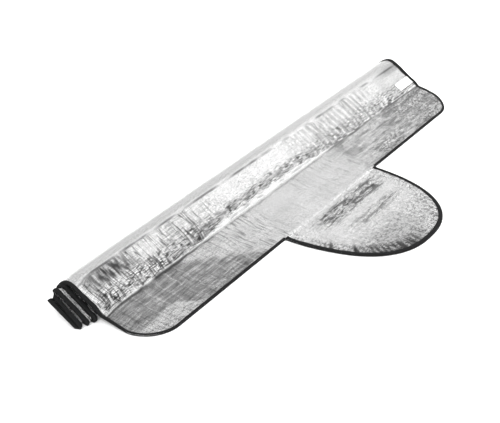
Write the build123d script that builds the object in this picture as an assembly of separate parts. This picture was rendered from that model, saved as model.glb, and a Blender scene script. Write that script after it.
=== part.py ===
from build123d import *
import math
import os

# A foil-faced foam mat with a rounded tab, loosely rolled up so that its free end
# (the apron) lies flat in front of the roll.
#
# Layout plane: X along the roll, Y towards the back, measured from the mat's free edge,
# Z up from the floor. Every solid is moved at the end so that the origin is the middle of
# the whole footprint, on the floor. All lengths are in millimetres, all angles in degrees.

os.makedirs("parts", exist_ok=True)

# ---- mat build-up ----
MAT_WIDTH = 1400.0          # along the roll, over the edge tapes
FOAM = 3.0                  # foam core
FILM = 0.4                  # foil film on each face
TAPE = 0.4                  # edge tape, one thickness
TAPE_FACE = 8.0             # how far the tape reaches onto the mat
THREAD_WIDTH = 0.8
THREAD_HEIGHT = 0.25
THREAD_INSET = 5.5          # from the mat's edge to the stitch line

HALF_FOAM = FOAM / 2
HALF_MAT = HALF_FOAM + FILM
HALF_EDGE = HALF_MAT + TAPE

# ---- free end and tab ----
CORNER_RADIUS = 85.0
TAB_WIDTH = 416.0
TAB_LENGTH = 274.0
TAB_POWER_X = 2.375         # superellipse powers of the tab's outline
TAB_POWER_Y = 2.30
TAB_CENTRE = MAT_WIDTH / 2
CUT_GAP = 0.15              # each side of a cut between two moving bodies

# ---- section of the roll ----
FLOOR = HALF_EDGE           # middle of a layer that lies on the floor
SLOPE_ANGLE = 32.0
CREASE = (146.0, 13.0)      # where the apron turns up into the slope
CREASE_CUT = 0.60           # set back from the crease, so that the two cut faces stay clear
APRON_LIFT_START = 88.0     # the apron lies flat as far back as this
SLOPE_LENGTH = 89.6         # crease to the hinge line below the crest
CREST_LENGTH = 115.6        # crease to the crest's corner
BACK_CORNER = (287.0, 27.0)
HEEL_CORNER = (278.0, FLOOR)
LAYER_PITCH = 7.0           # between the sloping layers
SECOND_LAYER = FLOOR + 5.1  # middle of a layer that lies on the floor layer
WRAP_END = 205.0            # where the outer wrap's floor run hands over to the second turn

SECOND_DEPTH = LAYER_PITCH
THIRD_DEPTH = 2 * LAYER_PITCH
CORE_DEPTH = 3 * LAYER_PITCH
INNER_DEPTH = 26.5
UNDER_DEPTH = 34.0          # the bottom layer of the bundle
RUN_END = 80.0              # along the slope, where one turn's node ends and the next starts
BACK_FOLD = 100.5           # along the slope, the back fold of the third turn
CORE_NOSE = 43.0            # along the slope, the front fold of the core
INNER_END = 92.0            # along the slope, the mat's inner end

CREST_RADIUS = 25.0
BACK_RADIUS = 22.0
HEEL_RADIUS = 16.0
NOSE_RADIUS = 5.7
SECOND_BACK_RADIUS = 8.0
UNDER_RADIUS = 20.0
THIRD_NOSE_RADIUS = 3.5
FOLD_SLACK = 0.01           # keeps two fold arcs from meeting exactly
LIFT_RADIUS = 60.0

# How far each turn has slid out to the left of the mat's own left edge.
SECOND_SHIFT = -11.0
THIRD_SHIFT = -26.0
CORE_SHIFT = -38.0
INNER_SHIFT = -50.0

LABEL = (70.0, 26.0, 0.3)   # along the roll, up the slope, thickness
LABEL_PLACE = (1345.0, 60.0)  # centre along the roll, centre up the slope from the crease


# ---- plane geometry of the section ----
def slope_point(along, depth):
    """A point given by its distance up the slope and its depth below the outer layer."""
    angle = math.radians(SLOPE_ANGLE)
    y = CREASE[0] + along * math.cos(angle) + depth * math.sin(angle)
    z = CREASE[1] + along * math.sin(angle) - depth * math.cos(angle)
    return (y, z)


def slope_meets(depth, height):
    """The point where a sloping layer's line comes down to a height."""
    angle = math.radians(SLOPE_ANGLE)
    along = (height - CREASE[1] + depth * math.cos(angle)) / math.sin(angle)
    return slope_point(along, depth)


def unit(a, b):
    length = math.dist(a, b)
    return ((b[0] - a[0]) / length, (b[1] - a[1]) / length)


def offset_path(points, radii, side):
    """Shifts a filleted polyline sideways, to its left where side is positive."""
    lines = []
    for a, b in zip(points, points[1:]):
        t = unit(a, b)
        shift = (-t[1] * side, t[0] * side)
        lines.append(((a[0] + shift[0], a[1] + shift[1]), t))
    moved = [lines[0][0]]
    new_radii = []
    for (a, t), (b, s), radius in zip(lines, lines[1:], radii):
        cross = t[0] * s[1] - t[1] * s[0]
        along = ((b[0] - a[0]) * s[1] - (b[1] - a[1]) * s[0]) / cross
        moved.append((a[0] + along * t[0], a[1] + along * t[1]))
        new_radii.append(radius - side * math.copysign(1, cross))
    last, t = lines[-1]
    end_length = math.dist(points[-2], points[-1])
    moved.append((last[0] + t[0] * end_length, last[1] + t[1] * end_length))
    return moved, new_radii


def path_line(points, radii):
    if len(points) == 2:
        return Line(*points)
    return FilletPolyline(*points, radius=radii)


def trimmed(points, start, end):
    """The path with a little taken off each end."""
    first = unit(points[0], points[1])
    last = unit(points[-2], points[-1])
    head = (points[0][0] + first[0] * start, points[0][1] + first[1] * start)
    tail = (points[-1][0] - last[0] * end, points[-1][1] - last[1] * end)
    return [head] + list(points[1:-1]) + [tail]


def strip(points, radii, low, high, x_from, x_to):
    """A layer of the mat between two offsets of its middle line, from x_from to x_to."""
    bottom, bottom_radii = offset_path(points, radii, low)
    top, top_radii = offset_path(points, radii, high)
    outline = path_line(bottom, bottom_radii) + path_line(top, top_radii)
    outline += Line(bottom[0], top[0])
    outline += Line(bottom[-1], top[-1])
    face = Plane.YZ * make_face(outline)
    return Pos(x_from, 0, 0) * extrude(face, amount=x_to - x_from, dir=(1, 0, 0))


# ---- section paths: (points, radii) of each stretch's middle line ----
CREST_CORNER = slope_point(CREST_LENGTH, 0)

APRON_PATH = ([(0.0, FLOOR), (APRON_LIFT_START, FLOOR), CREASE], [LIFT_RADIUS])
SLOPE_PATH = ([CREASE, slope_point(SLOPE_LENGTH, 0)], [])
WRAP_PATH = (
    [slope_point(SLOPE_LENGTH, 0), CREST_CORNER, BACK_CORNER, HEEL_CORNER, (WRAP_END, FLOOR)],
    [CREST_RADIUS, BACK_RADIUS, HEEL_RADIUS],
)


def second_path():
    """From the floor, round the front nose, up under the slope and over the back."""
    wrap_points, wrap_radii = offset_path(*WRAP_PATH, -SECOND_DEPTH)
    crest = wrap_points[1]
    back = unit(wrap_points[1], wrap_points[2])
    under = unit(slope_point(0, UNDER_DEPTH), slope_point(1, UNDER_DEPTH))
    start = slope_point(0, UNDER_DEPTH)
    cross = back[0] * under[1] - back[1] * under[0]
    along = ((start[0] - crest[0]) * under[1] - (start[1] - crest[1]) * under[0]) / cross
    turn = (crest[0] + along * back[0], crest[1] + along * back[1])
    points = [
        (WRAP_END, FLOOR),
        slope_meets(SECOND_DEPTH, FLOOR),
        crest,
        turn,
        slope_point(RUN_END, UNDER_DEPTH),
    ]
    return points, [NOSE_RADIUS, wrap_radii[0], SECOND_BACK_RADIUS]


def third_path():
    """Down the bottom of the bundle, round its nose, up again and over the back fold."""
    fold = (CORE_DEPTH - THIRD_DEPTH) / 2 - FOLD_SLACK
    points = [
        slope_point(RUN_END, UNDER_DEPTH),
        slope_meets(UNDER_DEPTH, SECOND_LAYER),
        slope_meets(THIRD_DEPTH, SECOND_LAYER),
        slope_point(BACK_FOLD, THIRD_DEPTH),
        slope_point(BACK_FOLD, CORE_DEPTH),
        slope_point(RUN_END, CORE_DEPTH),
    ]
    return points, [UNDER_RADIUS, THIRD_NOSE_RADIUS, fold, fold]


def core_path():
    """Down to the front fold of the core."""
    points = [slope_point(RUN_END, CORE_DEPTH), slope_point(CORE_NOSE + 8.0, CORE_DEPTH)]
    return points, []


def inner_path():
    """Round the core's front fold and back to the mat's inner end."""
    fold = (INNER_DEPTH - CORE_DEPTH) / 2 - FOLD_SLACK
    points = [
        slope_point(CORE_NOSE + 8.0, CORE_DEPTH),
        slope_point(CORE_NOSE, CORE_DEPTH),
        slope_point(CORE_NOSE, INNER_DEPTH),
        slope_point(INNER_END, INNER_DEPTH),
    ]
    return points, [fold, fold]


# ---- one stretch of the mat: foam, two films and the tapes on its side edges ----
def foam(path, shift=0.0):
    return strip(*path, -HALF_FOAM, HALF_FOAM, shift + TAPE, shift + MAT_WIDTH - TAPE)


def outer_film(path, shift=0.0):
    return strip(*path, HALF_FOAM, HALF_MAT, shift + TAPE, shift + MAT_WIDTH - TAPE)


def inner_film(path, shift=0.0):
    return strip(*path, -HALF_MAT, -HALF_FOAM, shift + TAPE, shift + MAT_WIDTH - TAPE)


def side_tape(path, edge, inward):
    """A tape folded round one side edge; inward is +1 on the left and -1 on the right."""
    wide = sorted((edge, edge + inward * TAPE_FACE))
    core = sorted((edge + inward * TAPE, edge + inward * (TAPE_FACE + TAPE)))
    return strip(*path, -HALF_EDGE, HALF_EDGE, *wide) - strip(*path, -HALF_MAT, HALF_MAT, *core)


def stretch(name, path, shift=0.0):
    """The five nodes of one stretch, by name."""
    return {
        name + "_foam": foam(path, shift),
        name + "_outer_film": outer_film(path, shift),
        name + "_inner_film": inner_film(path, shift),
        name + "_left_tape": side_tape(path, shift, 1),
        name + "_right_tape": side_tape(path, shift + MAT_WIDTH, -1),
    }


# ---- plan outlines ----
def prism(outline, low=-5.0, high=40.0):
    return Pos(0, 0, low) * extrude(make_face(outline), amount=high - low, dir=(0, 0, 1))


def apron_prism(inset):
    """The apron's plan, with its two rounded front corners, set in from the edges."""
    back = CREASE[0] + 20.0
    radius = CORNER_RADIUS - inset
    left, right, front = inset, MAT_WIDTH - inset, max(inset, CUT_GAP)
    outline = Line((left, back), (left, front + radius))
    outline += RadiusArc((left, front + radius), (left + radius, front), -radius)
    outline += Line((left + radius, front), (right - radius, front))
    outline += RadiusArc((right - radius, front), (right, front + radius), -radius)
    outline += Line((right, front + radius), (right, back))
    outline += Line((right, back), (left, back))
    return prism(outline)


def tab_prism(inset):
    """The tab's plan: half of a superellipse that stands on the free edge."""
    half = TAB_WIDTH / 2 - inset
    reach = TAB_LENGTH - inset
    steps = 24
    points = []
    for i in range(steps + 1):
        angle = math.pi * i / steps
        c = math.cos(angle)
        x = math.copysign(abs(c) ** (2 / TAB_POWER_X), c) * half
        y = math.sin(angle) ** (2 / TAB_POWER_Y) * reach if 0 < i < steps else 0.0
        points.append((TAB_CENTRE + x, -CUT_GAP - y))
    return prism(Spline(*points) + Line(points[-1], points[0]))


def slab(low, high):
    """A flat layer over the tab, between two heights above the floor layer's middle."""
    box = Box(TAB_WIDTH + 40.0, TAB_LENGTH + 40.0, high - low)
    centre = (TAB_CENTRE, -(TAB_LENGTH + 40.0) / 2, FLOOR + (low + high) / 2)
    return Pos(*centre) * box


def apron_layer(low, high, inset):
    points, radii = APRON_PATH
    path = (trimmed(points, 0.0, CREASE_CUT), radii)
    return strip(*path, low, high, 0, MAT_WIDTH) & apron_prism(inset)


def ring(layer, make_prism, width, low, high, inset):
    """A layer cut down to a band of a given width along its outline."""
    return layer(low, high, inset) - make_prism(inset + width)


def tab_layer(low, high, inset):
    return slab(low, high) & tab_prism(inset)


def tape_round(layer, make_prism):
    """The folded tape along an outline: upper leg, lower leg and the edge between them."""
    band = ring(layer, make_prism, TAPE_FACE, -HALF_EDGE, HALF_EDGE, 0.0)
    return band - layer(-HALF_MAT, HALF_MAT, TAPE)


def thread_round(layer, make_prism):
    top = HALF_EDGE + THREAD_HEIGHT
    return ring(layer, make_prism, THREAD_WIDTH, HALF_EDGE, top, THREAD_INSET)


def half_space(x_from, x_to):
    """Keeps what lies between two places along the roll."""
    return Pos((x_from + x_to) / 2, 0, 0) * Box(x_to - x_from, 4 * TAB_LENGTH, 200.0)


def apron_parts():
    left = half_space(-10.0, TAB_CENTRE - TAB_WIDTH / 2)
    right = half_space(TAB_CENTRE + TAB_WIDTH / 2, MAT_WIDTH + 10.0)
    tape = tape_round(apron_layer, apron_prism)
    thread = thread_round(apron_layer, apron_prism)
    return {
        "apron_foam": apron_layer(-HALF_FOAM, HALF_FOAM, TAPE),
        "apron_outer_film": apron_layer(HALF_FOAM, HALF_MAT, TAPE),
        "apron_inner_film": apron_layer(-HALF_MAT, -HALF_FOAM, TAPE),
        "apron_left_tape": tape & left,
        "apron_right_tape": tape & right,
        "apron_left_stitching": thread & left,
        "apron_right_stitching": thread & right,
    }


def tab_parts():
    return {
        "tab_foam": tab_layer(-HALF_FOAM, HALF_FOAM, TAPE),
        "tab_outer_film": tab_layer(HALF_FOAM, HALF_MAT, TAPE),
        "tab_inner_film": tab_layer(-HALF_MAT, -HALF_FOAM, TAPE),
        "tab_tape": tape_round(tab_layer, tab_prism),
        "tab_stitching": thread_round(tab_layer, tab_prism),
    }


def side_thread(path, x):
    return strip(*path, HALF_EDGE, HALF_EDGE + THREAD_HEIGHT, x, x + THREAD_WIDTH)


def slope_parts():
    points, radii = SLOPE_PATH
    path = (trimmed(points, CREASE_CUT, CUT_GAP), radii)
    parts = stretch("slope", path)
    parts["slope_left_stitching"] = side_thread(path, THREAD_INSET)
    parts["slope_right_stitching"] = side_thread(path, MAT_WIDTH - THREAD_INSET - THREAD_WIDTH)
    width, height, thick = LABEL
    x, along = LABEL_PLACE
    label_path = ([slope_point(along - height / 2, 0), slope_point(along + height / 2, 0)], [])
    span = (x - width / 2, x + width / 2)
    parts["blank_label"] = strip(*label_path, HALF_MAT, HALF_MAT + thick, *span)
    return parts


def wrap_parts():
    points, radii = WRAP_PATH
    return stretch("outer_wrap", (trimmed(points, CUT_GAP, 0.0), radii))


def inner_end_parts():
    """The innermost stretch, whose end is bound by a tape like the sides."""
    points, radii = inner_path()
    end = math.dist(points[-2], points[-1]) - TAPE
    parts = stretch("inner_end", (trimmed(points, 0.0, TAPE), radii), INNER_SHIFT)
    last = [slope_point(CORE_NOSE + end + TAPE - TAPE_FACE, INNER_DEPTH), points[-1]]
    span = (INNER_SHIFT + TAPE_FACE, INNER_SHIFT + MAT_WIDTH - TAPE_FACE)
    block = strip(last, [], -HALF_EDGE, HALF_EDGE, *span)
    core = strip(trimmed(last, 0.0, TAPE), [], -HALF_MAT, HALF_MAT, *span)
    parts["inner_end_cross_tape"] = block - core
    return parts


def hinge_lines():
    """Where the mat bends, just above its upper face, so that cuts open underneath."""
    above = HALF_EDGE + THREAD_HEIGHT + CUT_GAP
    crease, _ = offset_path(APRON_PATH[0] + [slope_point(SLOPE_LENGTH, 0)], [0.0, 0.0], above)
    return {
        "crest": slope_point(SLOPE_LENGTH, -above),
        "crease": crease[2],
        "tab": (0.0, FLOOR + above),
    }


def all_parts():
    parts = {}
    parts.update(tab_parts())
    parts.update(apron_parts())
    parts.update(slope_parts())
    parts.update(wrap_parts())
    parts.update(stretch("second_turn", second_path(), SECOND_SHIFT))
    parts.update(stretch("third_turn", third_path(), THIRD_SHIFT))
    parts.update(stretch("core_turn", core_path(), CORE_SHIFT))
    parts.update(inner_end_parts())
    return parts


def main():
    parts = all_parts()
    box = Compound(children=[Compound(part.solids()) for part in parts.values()]).bounding_box()
    middle = box.center()
    to_origin = Pos(-middle.X, -middle.Y, -box.min.Z)
    for name, part in parts.items():
        solids = (to_origin * part).solids()
        shape = solids[0] if len(solids) == 1 else Compound(solids)
        export_step(shape, f"parts/{name}.step")
    print("nodes", len(parts))
    print("free edge at y", round(-middle.Y, 3), "mat's left edge at x", round(-middle.X, 3))
    print("size", [round(v, 2) for v in box.size])
    for name, (y, z) in hinge_lines().items():
        print(name, "hinge at y", round(y - middle.Y, 2), "z", round(z, 2))


main()
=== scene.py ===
import math

import bpy
import numpy as np
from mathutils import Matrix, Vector


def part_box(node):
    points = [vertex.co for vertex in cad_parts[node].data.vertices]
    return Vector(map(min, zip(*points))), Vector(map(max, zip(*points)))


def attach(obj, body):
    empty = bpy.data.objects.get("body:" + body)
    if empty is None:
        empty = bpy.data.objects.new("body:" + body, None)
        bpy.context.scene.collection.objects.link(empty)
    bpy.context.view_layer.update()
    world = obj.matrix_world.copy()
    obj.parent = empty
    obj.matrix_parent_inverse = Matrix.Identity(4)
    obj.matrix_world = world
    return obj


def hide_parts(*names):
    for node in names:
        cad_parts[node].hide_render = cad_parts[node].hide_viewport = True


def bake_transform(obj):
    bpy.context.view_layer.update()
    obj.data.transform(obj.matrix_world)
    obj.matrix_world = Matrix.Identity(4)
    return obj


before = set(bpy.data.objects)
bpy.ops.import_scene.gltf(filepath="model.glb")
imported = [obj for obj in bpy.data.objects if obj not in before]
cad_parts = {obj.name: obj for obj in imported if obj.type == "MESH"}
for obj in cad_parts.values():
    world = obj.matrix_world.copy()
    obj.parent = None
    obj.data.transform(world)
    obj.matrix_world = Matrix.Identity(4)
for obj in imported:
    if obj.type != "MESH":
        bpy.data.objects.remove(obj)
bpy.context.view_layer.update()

# A foil-faced foam mat, loosely rolled, with its free end and sewn tab laid out in front.
# The mat is drawn in its flat pattern (s along the roll, l back from the free edge, both in
# millimetres) and carried to its place by a table of sections. Blender works in metres.

MM = 0.001

# ---- sizes, read from the frame or shared with it ----
WIDTH = (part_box("slope_right_tape")[1][0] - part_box("slope_left_tape")[0][0]) / MM
LEFT_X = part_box("slope_left_tape")[0][0] / MM
BACK_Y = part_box("outer_wrap_left_tape")[1][1] / MM
BACK_MOST = 285.4  # behind the free edge, in the flat layout
FREE_Y = BACK_Y - BACK_MOST
TAB_CENTRE = WIDTH / 2
TAB_WIDTH = (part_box("tab_tape")[1][0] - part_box("tab_tape")[0][0]) / MM
TAB_LENGTH = FREE_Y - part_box("tab_tape")[0][1] / MM
TAB_POWER_X = 2.375
TAB_POWER_Y = 2.30
CORNER = 85.0
TAPE_FACE = 8.0
HALF_MAT = 1.9  # foam and two films
HALF_EDGE = 2.3  # the same with the tape's legs
FLOOR_MID = 2.3


# ---- noise and small maths ----
def smooth(x, low, high):
    t = np.clip((x - low) / (high - low), 0.0, 1.0)
    return t * t * (3 - 2 * t)


def window(x, low, high, soft):
    """1 between low and high, falling to 0 over soft on each side."""
    return smooth(x, low - soft, low + soft) * (1 - smooth(x, high - soft, high + soft))


def gradient_at(ix, iy, seed):
    h = (ix * 374761393 + iy * 668265263 + seed * 974634777) & 0xFFFFFFFF
    h = ((h ^ (h >> 13)) * 1274126177) & 0xFFFFFFFF
    angle = ((h ^ (h >> 16)) & 0xFFFF) * (2 * math.pi / 65536)
    return np.cos(angle), np.sin(angle)


def noise(x, y, seed=0):
    """Smooth gradient noise, about -0.7 to 0.7."""
    x, y = np.broadcast_arrays(np.asarray(x, float), np.asarray(y, float))
    x0, y0 = np.floor(x).astype(np.int64), np.floor(y).astype(np.int64)
    fx, fy = x - x0, y - y0
    u = fx ** 3 * (fx * (fx * 6 - 15) + 10)
    v = fy ** 3 * (fy * (fy * 6 - 15) + 10)
    total = 0.0
    for dx, wx in ((0, 1 - u), (1, u)):
        for dy, wy in ((0, 1 - v), (1, v)):
            gx, gy = gradient_at(x0 + dx, y0 + dy, seed)
            total = total + wx * wy * (gx * (fx - dx) + gy * (fy - dy))
    return total


def ridge(x, y, seed):
    """Creases: 1 on thin crest lines, falling to about 0 between them."""
    return np.clip(1 - 2.4 * np.abs(noise(x, y, seed)), 0, 1) ** 1.6


def crumple(s, l, size, seed):
    """Three sizes of crossing creases, as in crushed film."""
    total = ridge(s / size, l / size, seed)
    total = total + 0.5 * ridge(s / size * 2.1 + 5, l / size * 2.1, seed + 1)
    return total + 0.25 * ridge(s / size * 4.3, l / size * 4.3 + 9, seed + 2)


# ---- sections ----
def run_along(path):
    """How far along its path each point is."""
    return np.concatenate([[0], np.cumsum(np.linalg.norm(np.diff(path, axis=0), axis=1))])


def arc_corner(before, corner, after, radius, steps=12):
    """The points of a fillet at a corner."""
    p0, p1, p2 = (np.array(p, float) for p in (before, corner, after))
    a, b = p0 - p1, p2 - p1
    la, lb = np.linalg.norm(a), np.linalg.norm(b)
    a, b = a / la, b / lb
    half = math.acos(max(-1.0, min(1.0, float(a @ b)))) / 2
    reach = min(radius / math.tan(half), la * 0.98, lb * 0.98)
    radius = reach * math.tan(half)
    centre = p1 + (a + b) / np.linalg.norm(a + b) * (radius / math.sin(half))
    start, end = p1 + a * reach - centre, p1 + b * reach - centre
    turn = math.atan2(start[0] * end[1] - start[1] * end[0], float(start @ end))
    angle = turn * np.arange(steps + 1)[:, None] / steps
    return list(centre + (start * np.cos(angle) + np.array([-start[1], start[0]]) * np.sin(angle)))


def section(corners, radii, samples):
    """A filleted polyline, sampled evenly along its length, and that length."""
    points = [np.array(corners[0], float)]
    for i, radius in enumerate(radii):
        points += arc_corner(corners[i], corners[i + 1], corners[i + 2], radius)
    points.append(np.array(corners[-1], float))
    points = np.array(points)
    run = run_along(points)
    at = np.linspace(0, run[-1], samples)
    return np.stack([np.interp(at, run, points[:, k]) for k in (0, 1)], axis=1), run[-1]


class Sheet:
    """A stretch of mat: its section at a row of stations along the roll."""

    def __init__(self, corners_at, radii, stations, shift, samples=700):
        self.stations = np.array(stations, float)
        rows, lengths = zip(*(section(corners_at(s), radii, samples) for s in self.stations))
        self.table = np.array(rows)
        self.length = float(np.mean(lengths))
        tangent = np.gradient(self.table, axis=1)
        tangent /= np.linalg.norm(tangent, axis=2, keepdims=True)
        self.normals = np.stack([-tangent[..., 1], tangent[..., 0]], axis=2)
        self.shift = shift

    def look_up(self, table, s, l):
        n, m = table.shape[:2]
        u = np.clip(np.interp(s, self.stations, np.arange(n)), 0, n - 1.001)
        v = np.clip(l / self.length, 0, 1) * (m - 1.001)
        i, j = np.floor(u).astype(int), np.floor(v).astype(int)
        fu, fv = (u - i)[..., None], (v - j)[..., None]
        fu = fu * fu * (3 - 2 * fu)
        low = table[i, j] * (1 - fv) + table[i, j + 1] * fv
        high = table[i + 1, j] * (1 - fv) + table[i + 1, j + 1] * fv
        return low * (1 - fu) + high * fu

    def place(self, s, l, height):
        """Points at flat-pattern places, raised off the mat's middle by a height."""
        s, l = np.broadcast_arrays(np.asarray(s, float), np.asarray(l, float))
        yz = self.look_up(self.table, s, l)
        n = self.look_up(self.normals, s, l)
        n = n / np.linalg.norm(n, axis=-1, keepdims=True)
        yz = yz + n * np.asarray(height)[..., None] * np.ones_like(n)
        x = s + self.shift(s, l / self.length)
        z = np.maximum(yz[..., 1], 0.0)  # nothing goes under the floor
        return np.stack([x + LEFT_X, yz[..., 0] + FREE_Y, z], axis=-1) * MM


def lerp_corners(left, right, t):
    left = np.array(left)
    return left + (np.array(right) - left) * t


SLOPE_ANGLE = math.radians(32.0)
CREASE = (146.0, 13.0)


def on_slope(along, depth):
    """A place given by its distance up the slope and its depth below the outer layer."""
    y = CREASE[0] + along * math.cos(SLOPE_ANGLE) + depth * math.sin(SLOPE_ANGLE)
    z = CREASE[1] + along * math.sin(SLOPE_ANGLE) - depth * math.cos(SLOPE_ANGLE)
    return (y, z)


# The outer sheet, from the free edge to the heel of the roll, at its two ends.
OUTER_END = [(0, FLOOR_MID), (76, FLOOR_MID), (147, 13.5), (163, 33), (240, 79), (271, 29),
             (272, FLOOR_MID), (257, FLOOR_MID)]
OUTER_LEFT = [(0, FLOOR_MID), (76, FLOOR_MID), (147, 13.5), (163, 33), (239, 78), (287, 29),
              (277, FLOOR_MID), (262, FLOOR_MID)]
OUTER_RIGHT = [(0, FLOOR_MID), (92, FLOOR_MID), (144, 9.0), (158, 21), (245, 69.5), (288, 30),
               (278, FLOOR_MID), (263, FLOOR_MID)]
OUTER_RADII = [60, 5, 26, 34, 22, 12]
OUTER_RIGHT_END = [(0, FLOOR_MID), (88, FLOOR_MID), (134, 5.0), (148, 18), (246, 67.5), (288, 30),
                   (278, FLOOR_MID), (263, FLOOR_MID)]
END_REACH = 55.0  # how far in from the left edge the roll is tighter
RIGHT_REACH = 190.0  # how far in from the right edge the roll droops


def outer_corners(s):
    """The outer section at one place along the roll, with the roll's slow unevenness."""
    points = lerp_corners(OUTER_LEFT, OUTER_RIGHT, s / WIDTH)
    points = lerp_corners(OUTER_END, points, smooth(s, 0.0, END_REACH))
    points = lerp_corners(points, OUTER_RIGHT_END, smooth(s, WIDTH - RIGHT_REACH, WIDTH))
    wave = [float(noise(s / 130.0, 3.1 + 7 * k, 40)) for k in range(6)]
    fine = [float(noise(s / 55.0, 8.7 + 7 * k, 41)) for k in range(3)]
    points[2] += (3.5 * wave[0] + 1.5 * fine[0], 1.2 * wave[1])
    points[3] += (2.5 * wave[2] + 1.2 * fine[1], 2.5 * wave[3])
    points[4] += (0.0, 1.6 * wave[4])
    points[5] += (1.0 * wave[5], 0.0)
    return points


# The inner turns: from the heel, round the front nose and inwards to the mat's inner end.
INNER_DEEP = [(263, FLOOR_MID), (142, FLOOR_MID), (242.8, 65.1), (260.9, 44.8), (201.2, 7.4),
              (163.5, 7.4), on_slope(100.5, 14), on_slope(100.5, 21), on_slope(43, 21),
              on_slope(43, 26.5), on_slope(92, 26.5)]
INNER_SLID = [(256, FLOOR_MID), (141, FLOOR_MID), (244, 67.5), (255, 50), (205, 5.0),
              (150, 2.6), (244, 62), (247, 55), (161, 3.5), (169, 0.0), (244, 47)]
INNER_RADII = [5.7, 18, 8, 20, 3.5, 3.45, 3.45, 2.7, 2.7]
INNER_SHIFTS = [-7.5, -13.0, -14.0, -15.0, -22.0, -31.0, -33.0, -43.0, -46.0, -51.0, -54.0]
OUTER_SKEW = -7.0  # the roll's left end is a little out of square
SLIDE_REACH = 45.0  # how far in from the left edge the slid ends droop


def inner_corners(s):
    return lerp_corners(INNER_SLID, INNER_DEEP, smooth(s, 0.0, SLIDE_REACH))


CORNER_PULL = -27.0  # the right front corner is drawn in a little
KINK_PUSH = 9.0  # the right edge stands out at the crease
CREST_PUSH = 9.0  # and more up the slope


def outer_shift(s, fraction):
    l = fraction * OUTER_LENGTH
    skew = OUTER_SKEW * smooth(fraction, 0.36, 0.62) * (1 - smooth(s, 0.0, 500.0))
    near_right = smooth(s, 1150.0, WIDTH)
    pull = CORNER_PULL * near_right * (1 - smooth(l, 0.0, 110.0))
    push = KINK_PUSH * near_right * window(l, 110.0, 290.0, 40.0)
    push = push + CREST_PUSH * near_right * window(l, 200.0, 290.0, 35.0)
    return skew + pull + push


def inner_shift(s, fraction):
    run = run_along(np.array(INNER_SLID))
    return np.interp(fraction, run / run[-1], INNER_SHIFTS)


OUTER_LENGTH = section(outer_corners(WIDTH / 2), OUTER_RADII, 50)[1]
OUTER = Sheet(outer_corners, OUTER_RADII, np.linspace(0, WIDTH, 71), outer_shift)
INNER = Sheet(inner_corners, INNER_RADII,
              np.concatenate([np.linspace(0, 60, 13), np.linspace(110, WIDTH, 12)]),
              inner_shift, samples=1400)


def corner_length(sheet_corners, radii, index):
    """How far along the section one of its corners is, in the middle of the roll."""
    _, upto = section(sheet_corners[: index + 2], radii[:index], 50)
    return upto - math.dist(sheet_corners[index], sheet_corners[index + 1])


MIDDLE = outer_corners(WIDTH / 2)
CREASE_L = corner_length(MIDDLE, OUTER_RADII, 2)
CREST_L = corner_length(MIDDLE, OUTER_RADII, 4)
MID_SLOPE_L = CREASE_L + 50.0
END_L = OUTER.length


# ---- relief of the film ----
# Spans are (from, to, softness) for window() and (from, to) for smooth(). The ones that end in
# _T are shares of the roll's length, and the others are millimetres back from the free edge.
RIBBED_LEFT_T = (0.05, 0.40, 0.07)
RIBBED_RIGHT_T = (0.60, 0.93, 0.05)
SWELLING_T = (0.0, 0.35, 0.05)
CRUMPLED_RIGHT_T = (0.78, 0.995, 0.05)
RELIEF_SLOPE = (CREASE_L + 12, CREST_L - 13, 6)
RELIEF_LOW_SLOPE = (CREASE_L + 10, CREASE_L + 48, 9)
RELIEF_APRON_END = (CREASE_L - 14, CREASE_L - 2)
BACK_FROM = (CREST_L + 20, CREST_L + 45)
TOP_FOLD_DEPTH = 1.3
TOP_FOLD_WIDE = 2.4


def edge_fade(distance):
    """Film lies flat under the tape."""
    return smooth(distance, TAPE_FACE - 1.0, TAPE_FACE + 9.0)


def waves(s, l, *layers):
    """Noise in layers: strength, size along the roll, size across it, seed."""
    return sum(k * noise(s / long, l / wide, seed) for k, long, wide, seed in layers)


def line(distance, width):
    """1 on a line, falling to 0 beside it."""
    return np.exp(-(distance / width) ** 2)


def outer_relief(s, l):
    """Height of the crinkled film over the smooth mat, in millimetres."""
    t = s / WIDTH
    slope = window(l, *RELIEF_SLOPE)
    left = window(t, *RIBBED_LEFT_T)
    warped = s + waves(s, l, (7, 60, 40, 1))
    ribs = waves(warped, l, (1.0, 24, 150, 2), (0.5, 11, 70, 3))
    h = slope * ribs * (0.25 + 0.1 * left + 0.9 * window(t, *RIBBED_RIGHT_T))
    h = h + window(l, *RELIEF_LOW_SLOPE) * waves(s, l, (0.9, 40, 7.5, 4))
    h = h + 0.5 * slope * crumple(s, l, 24, 6) * (0.3 + 0.7 * left)

    apron = 1 - smooth(l, *RELIEF_APRON_END)
    h = h + apron * (0.6 + 0.6 * window(t, *SWELLING_T)) * waves(s, l, (1.1, 75, 42, 10))
    h = h + apron * waves(s, l, (0.5, 22, 60, 8))
    near_edge = 0.4 + 0.6 * smooth(l, 90, 20)
    crumpled = 0.25 + 0.9 * window(t, *CRUMPLED_RIGHT_T) * near_edge
    h = h + 0.9 * apron * crumpled * crumple(s, l, 26, 9)
    h = h + 0.8 * smooth(l, *BACK_FROM) * crumple(s, l, 34, 45)
    return h - TOP_FOLD_DEPTH * line(l - crest_line(s), TOP_FOLD_WIDE)


def crest_line(s):
    """The fold line along the top of the roll."""
    return CREST_L - 20 + 2.0 * noise(s / 90, 0.5, 11)


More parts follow.
